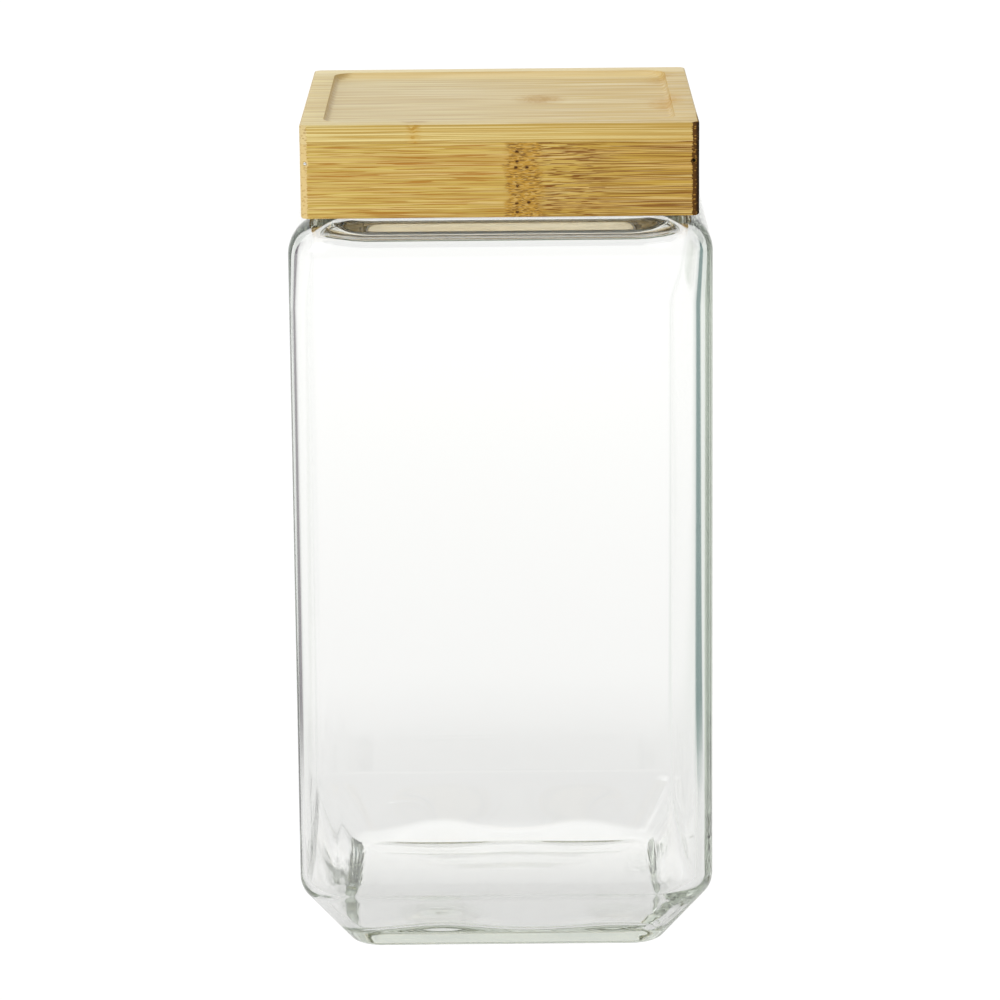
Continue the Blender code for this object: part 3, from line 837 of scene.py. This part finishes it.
# Fibres of a strip: (colour, length and width in mm, where their noise starts and is full, shift, strength).
STRIP_FIBRES = [
    ("D6AC6C", 50.0, 0.8, 0.48, 0.56, 14, 0.4),
    ("B8922C", 40.0, 1.3, 0.44, 0.58, 0, 0.2),
    ("E6CE8E", 30.0, 0.24, 0.52, 0.6, 2, 0.5),
    ("A87814", 40.0, 0.2, 0.52, 0.58, 3, 0.5),
]
# The rails' inner faces are paler: they lie nearer the middle of the lid than this, in mm.
FACE_FROM = 48.0


def strip_bamboo(name, node_start, shift, turned=False):
    """Bamboo strip, planed and oiled: brown dashes of the fibres, and a darker knuckle at its node."""
    material, tree = new_finish(name)
    place = grain_place(tree, turned)
    axes = add(tree, "ShaderNodeSeparateXYZ", {0: place})
    wobble = add(tree, "ShaderNodeTexNoise", {"Vector": place, "Scale": 0.35, "Detail": 2.0}).outputs["Fac"]
    ragged = add(tree, "ShaderNodeMapRange", {"Value": wobble, "To Min": -2.4, "To Max": 2.4}).outputs[0]
    along = add(tree, "ShaderNodeMath", {0: axes.outputs["X"], 1: ragged}, operation="ADD").outputs[0]
    along = add(tree, "ShaderNodeMath", {0: along, 1: node_start}, operation="SUBTRACT").outputs[0]
    wavy = waved(tree, place, 44.0, 7.0, 0.2)
    colour = stained(tree, linear("D8BD64"), "C6A144", rise(tree, along, -55.0, 50.0))
    for code, length, width, start, full, more_shift, depth in STRIP_FIBRES:
        fibres = streaks(tree, wavy, length, width, start, full, shift + more_shift)
        colour = stained(tree, colour, code, fibres, depth)
    # Dashes of the dark fibres, by the distance in mm past the node's start.
    before = rise(tree, along, 6.0, -4.0)
    past = product(tree, rise(tree, along, 7.0, 9.5), rise(tree, along, 34.0, 20.0))
    far = rise(tree, along, 16.0, 34.0)
    dashes = streaks(tree, wavy, 16.0, 0.26, 0.55, 0.6, shift + 4)
    short = streaks(tree, wavy, 5.5, 0.21, 0.52, 0.58, shift + 6)
    long = streaks(tree, wavy, 30.0, 0.22, 0.52, 0.57, shift + 8)
    colour = stained(tree, colour, "AA6C06", product(tree, dashes, before), 0.72)
    colour = stained(tree, colour, "7A4400", product(tree, short, past), 0.88)
    colour = stained(tree, colour, "7E4A00", product(tree, long, far), 0.85)
    node = product(tree, rise(tree, along, -1.0, 1.0), rise(tree, along, 10.4, 8.0), 0.85)
    crumpled = waved(tree, place, 3.4, 2.6, 0.6)
    dark = streaks(tree, crumpled, 2.6, 0.26, 0.48, 0.58, shift + 10)
    pale = streaks(tree, crumpled, 1.6, 0.3, 0.54, 0.62, shift + 12)
    knuckle = stained(tree, linear("BE8E2C"), "603400", dark, 0.8)
    knuckle = stained(tree, knuckle, "DAB668", pale, 0.6)
    colour = add(tree, "ShaderNodeMixRGB", {"Fac": node, 1: colour, 2: knuckle}).outputs[0]
    colour = stained(tree, colour, "F4E4C0", within(tree, place, "Y", FACE_FROM), 0.85)
    return material, tree, place, colour, dashes


# Planed bamboo strip: tan with orange-brown fibre dashes; a thin oil film gives it a soft, broken shine.
front_bamboo, tree, place, colour, dashes = strip_bamboo(
    "planed_bamboo_front_strip", node_start=NODE_START, shift=0.0)
# Painted shade in the node's pits: brown round each and near black in its middle, darker than the shallow
# dent makes it.
for along, down in NODE_PITS:
    at = (along, 0.0, BOARD_BOTTOM / MM - down)
    colour = stained(tree, colour, "8A5400", spot(tree, place, at, (1.0, 0, 0.8)), 0.7)
    colour = stained(tree, colour, "120800", spot(tree, place, at, (0.6, 0, 0.5)))
axes = add(tree, "ShaderNodeSeparateXYZ", {0: place})
# The right end is scorched and darkened with painted shade.
right_end = rise(tree, axes.outputs["X"], -1.0, 1.0)
at_end = ragged_end(tree, place)
colour, gloss = capped(tree, place, colour, dashes, at_end, right_end, "E0C486", "B48C44")
oiled(tree, colour, dashes, 0.45, gloss_from=gloss)
front_rail = placed("bamboo_front_rail", end_rail("bamboo_front_rail", True))
front_rail.data.materials.append(front_bamboo)
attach(front_rail, "lid")
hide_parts("lid_front_rail")

back_bamboo, tree, place, colour, dashes = strip_bamboo(
    "planed_bamboo_back_strip", node_start=24.0, shift=31.0)
cut_end = end_grain(tree, place, "D8BC86", "A8803C")
colour = add(tree, "ShaderNodeMixRGB", {
    "Fac": facing(tree, "X", 0.12, 0.35), 1: colour, 2: cut_end}).outputs[0]
oiled(tree, colour, dashes, 0.45)
back_rail = placed("bamboo_back_rail", end_rail("bamboo_back_rail", False))
back_rail.data.transform(Matrix.Rotation(math.pi, 4, "Z"))
back_rail.data.materials.append(back_bamboo)
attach(back_rail, "lid")
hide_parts("lid_back_rail")


# Side rails of the lid.
# The same strips, cut to fit between the front and back rails, with their fibres running front to back.
# Glue and one brad at each end hold them; only their outer faces and lower edges show.

SIDE_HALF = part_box("lid_right_rail")[1].y
SIDE_COLUMNS = 90
SIDE_ROWS = 24
# Each side rail: (side, turn from +X, where its node starts in mm, shift of its pattern).
SIDE_RAILS = [("right", 0.0, -31.0, 50.0), ("left", math.pi, 12.0, 70.0)]


def side_rail(name):
    """Straight rail at +X with an eased lower edge, in fine columns along Y."""
    columns = [-SIDE_HALF + 2 * SIDE_HALF * step / SIDE_COLUMNS for step in range(SIDE_COLUMNS + 1)]
    heights = eased_heights()
    rest = BOARD_BOTTOM - GLUE_LINE - heights[-1]
    heights += [heights[-1] + rest * row / SIDE_ROWS for row in range(1, SIDE_ROWS + 1)]
    rings = []
    for height in heights:
        face = LID_HALF - eased_inset(height)
        ring = [(face - face_wave(y, height, 9.0), y, height) for y in columns]
        ring.append((LID_HALF - RAIL_THICKNESS, SIDE_HALF, height))
        ring.append((LID_HALF - RAIL_THICKNESS, -SIDE_HALF, height))
        rings.append(ring)
    mesh = skin(name, rings)
    mesh.set_sharp_from_angle(angle=SHARP_TURN)
    return mesh


for side, turn, node_at, shift in SIDE_RAILS:
    side_bamboo, tree, place, colour, dashes = strip_bamboo(
        f"planed_bamboo_{side}_strip", node_at, shift, turned=True)
    oiled(tree, colour, dashes, 0.45)
    rail = placed(f"bamboo_{side}_rail", side_rail(f"bamboo_{side}_rail"))
    rail.data.transform(Matrix.Rotation(turn, 4, "Z"))
    rail.data.materials.append(side_bamboo)
    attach(rail, "lid")
    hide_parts(f"lid_{side}_rail")


# Brads.
# Bright steel wire brads, 0.9 mm across, punched through the front and back rails into the side rails' ends.
# Only the domed heads show, a little below the wood; the bright ones catch one small light each.

def steel_wire(name, clean, dull, smooth, rough):
    """Drawn steel: a metal whose colour and polish change in small patches."""
    material, tree = new_finish(name)
    patches = add(tree, "ShaderNodeTexNoise", {
        "Vector": grain_place(tree), "Scale": 3.0, "Detail": 2.0}).outputs["Fac"]
    shader = tree.nodes["Principled BSDF"]
    polish = add(tree, "ShaderNodeMapRange", {"Value": patches, "To Min": smooth, "To Max": rough}).outputs[0]
    colour = add(tree, "ShaderNodeMixRGB", {"Fac": patches, 1: linear(clean), 2: linear(dull)}).outputs[0]
    tree.links.new(colour, shader.inputs["Base Color"])
    tree.links.new(polish, shader.inputs["Roughness"])
    shader.inputs["Metallic"].default_value = 1.0
    return material


# Drawn steel wire: bright, and a near-black dull steel as painted shade for the brad at the shaded right
# corner.
bright_steel = steel_wire("bright_drawn_steel", "F2F2F0", "CCCAC4", 0.1, 0.28)
shade_dark_steel = steel_wire("painted_shade_dark_steel", "241A12", "120D09", 0.4, 0.6)
BRAD_SIDES = 24
DOME = 0.16 * MM
DOME_STEPS = 5
# The dome has a small flat in its middle: this much of its curve, in radians.
DOME_START = 0.05
TIP_LENGTH = 1.2 * MM
for name in ("brad_front_left", "brad_front_right", "brad_back_left", "brad_back_right"):
    low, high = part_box(name)
    radius = (high.x - low.x) / 2
    middle = (low + high) / 2
    outward = -1 if low.y < 0 else 1
    head = low.y if outward < 0 else high.y
    length = high.y - low.y
    stations = []
    for step in range(DOME_STEPS + 1):
        angle = step / DOME_STEPS * math.pi / 2
        stations.append((radius * math.sin(angle + DOME_START), DOME * (1 - math.cos(angle))))
    stations += [(radius, length - TIP_LENGTH), (radius / 3, length)]
    rings = []
    for size, depth in stations:
        ring = []
        for corner in range(BRAD_SIDES):
            angle = corner / BRAD_SIDES * 2 * math.pi * -outward
            x = middle.x + size * math.sin(angle)
            z = middle.z + size * math.cos(angle)
            ring.append((x, head - outward * depth, z))
        rings.append(ring)
    brad = placed(f"steel_{name}", skin(f"steel_{name}", rings))
    # The front right brad, at the shaded corner, gets the dark steel as painted shade.
    brad.data.materials.append(shade_dark_steel if name == "brad_front_right" else bright_steel)
    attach(brad, "lid")
    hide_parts(name)


# Plug board of the lid.
# A square of bamboo board glued under the top board, which drops into the mouth and carries the seal.
# Its rounded sides show the edge of the strips; a groove above the lip holds the silicone.

plug_low, plug_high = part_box("lid_plug_board")
LIP_HALF = plug_high.x
GROOVE_HALF = LIP_HALF - 1.2 * MM
LIP_TOP = plug_low.z + 2.5 * MM
PLUG_EASE = 0.8 * MM
PLUG_FLAT_INSET = 8.0 * MM


def mouth_ring(half, height, arc_steps=12, flat_steps=10):
    """Ring that runs parallel to the mouth of the jar."""
    corner = NECK_CORNER - (NECK_HALF - half)
    return [(p.x, p.y, height) for p in square_ring(half, corner, arc_steps, flat_steps)]


plug_rings = [mouth_ring(LIP_HALF - PLUG_FLAT_INSET, plug_low.z)]
for step in range(EASE_STEPS + 1):
    angle = step / EASE_STEPS * math.pi / 2
    half = LIP_HALF - PLUG_EASE * (1 - math.sin(angle))
    plug_rings.append(mouth_ring(half, plug_low.z + PLUG_EASE * (1 - math.cos(angle))))
for half, height in ((LIP_HALF, LIP_TOP), (GROOVE_HALF, LIP_TOP), (GROOVE_HALF, plug_high.z)):
    plug_rings.append(mouth_ring(half, height))
plug = placed("bamboo_plug_board", skin("bamboo_plug_board", plug_rings))
plug.data.set_sharp_from_angle(angle=SHARP_TURN)

# Bamboo board, sanded: broad faint fibres below, and the strips' fine lines round its sides.
plug_bamboo, tree = new_finish("sanded_bamboo_plug")
place = grain_place(tree)
wavy = waved(tree, place, 40.0, 8.0, 0.7)
fine = streaks(tree, wavy, 26.0, 0.6, 0.42, 0.68, 90.0)
colour = stained(tree, linear("FCF0D4"), "E6CC9A", fine, 0.4)
colour = stained(tree, colour, "F2E0B8", streaks(tree, wavy, 50.0, 3.0, 0.4, 0.7, 93.0), 0.5)
lines = stained(tree, linear("D8C08C"), "A98242", streaks(tree, wavy, 60.0, 0.5, 0.46, 0.6, 96.0), 0.85)
colour = add(tree, "ShaderNodeMixRGB", {"Fac": facing(tree, "Y", 0.35, 0.75), 1: colour, 2: lines}).outputs[0]
cut_end = end_grain(tree, place, "D8BE88", "A07A40")
colour = add(tree, "ShaderNodeMixRGB", {"Fac": facing(tree, "X", 0.2, 0.5), 1: colour, 2: cut_end}).outputs[0]
oiled(tree, colour, fine, 0.5)
plug.data.materials.append(plug_bamboo)
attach(plug, "lid")
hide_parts("lid_plug_board")


# Seal ring.
# Clear silicone, moulded in one piece and stretched into the plug's groove: a sleeve, two fins and a flange.
# The fins bend against the mouth; the flange lies between the board and the rim.

seal_low, seal_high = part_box("seal_ring")
FLANGE_HALF = seal_high.x
SLEEVE_GAP = 0.3 * MM
SLEEVE_HALF = GROOVE_HALF + SLEEVE_GAP
SLEEVE = 1.3 * MM
FLANGE = 1.6 * MM
FIN_REACH = 2.3 * MM
FIN_RISE = 0.7 * MM
FIN_THICKNESS = 1.0 * MM
FIN_EASE = 0.2 * MM
FIN_COUNT = 2
SEAL_EASE = 0.3 * MM


def seal_section():
    """Half section of the seal as (half width, height) points, starting inside at the bottom."""
    outer = SLEEVE_HALF + SLEEVE
    tip = outer + FIN_REACH
    flange_bottom = seal_high.z - FLANGE
    pitch = (flange_bottom - seal_low.z) / (FIN_COUNT + 0.5)
    points = [(SLEEVE_HALF, seal_low.z), (outer - SEAL_EASE, seal_low.z), (outer, seal_low.z + SEAL_EASE)]
    for fin in range(FIN_COUNT):
        root = seal_low.z + (fin + 0.5) * pitch
        points += [
            (outer, root - FIN_EASE / 2),
            (outer + FIN_EASE, root + FIN_EASE / 4),
            (tip - FIN_EASE, root + FIN_RISE - FIN_EASE / 10),
            (tip, root + FIN_RISE + FIN_THICKNESS / 4),
            (tip - FIN_EASE, root + FIN_RISE + FIN_THICKNESS / 2),
            (outer + FIN_EASE, root + FIN_THICKNESS),
        ]
    return points + [
        (outer, flange_bottom),
        (FLANGE_HALF - SEAL_EASE, flange_bottom),
        (FLANGE_HALF, flange_bottom + SEAL_EASE),
        (FLANGE_HALF, seal_high.z - SEAL_EASE),
        (FLANGE_HALF - SEAL_EASE, seal_high.z),
        (SLEEVE_HALF, seal_high.z),
    ]


seal_rings = [mouth_ring(half, height, arc_steps=16, flat_steps=12) for half, height in seal_section()]
seal = placed("silicone_seal", skin("silicone_seal", seal_rings, closed=True))

# Clear silicone rubber, moulded: cloudy where it is thick, with a satin skin that takes soft highlights.
silicone, tree = new_finish("moulded_clear_silicone")
place = grain_place(tree)
cloud = add(tree, "ShaderNodeTexNoise", {"Vector": place, "Scale": 0.12, "Detail": 2.0}).outputs["Fac"]
pores = add(tree, "ShaderNodeTexNoise", {"Vector": place, "Scale": 4.0, "Detail": 2.0}).outputs["Fac"]
milky = add(tree, "ShaderNodeMixRGB", {"Fac": cloud, 1: linear("FAFAF6"), 2: linear("F1F2ED")}).outputs[0]
satin = add(tree, "ShaderNodeMapRange", {"Value": pores, "To Min": 0.26, "To Max": 0.4}).outputs[0]
shader = tree.nodes["Principled BSDF"]
tree.links.new(milky, shader.inputs["Base Color"])
tree.links.new(satin, shader.inputs["Roughness"])
shader.inputs["IOR"].default_value = 1.41
shader.inputs["Transmission Weight"].default_value = 0.2
seal.data.materials.append(silicone)
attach(seal, "lid")
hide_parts("seal_ring")
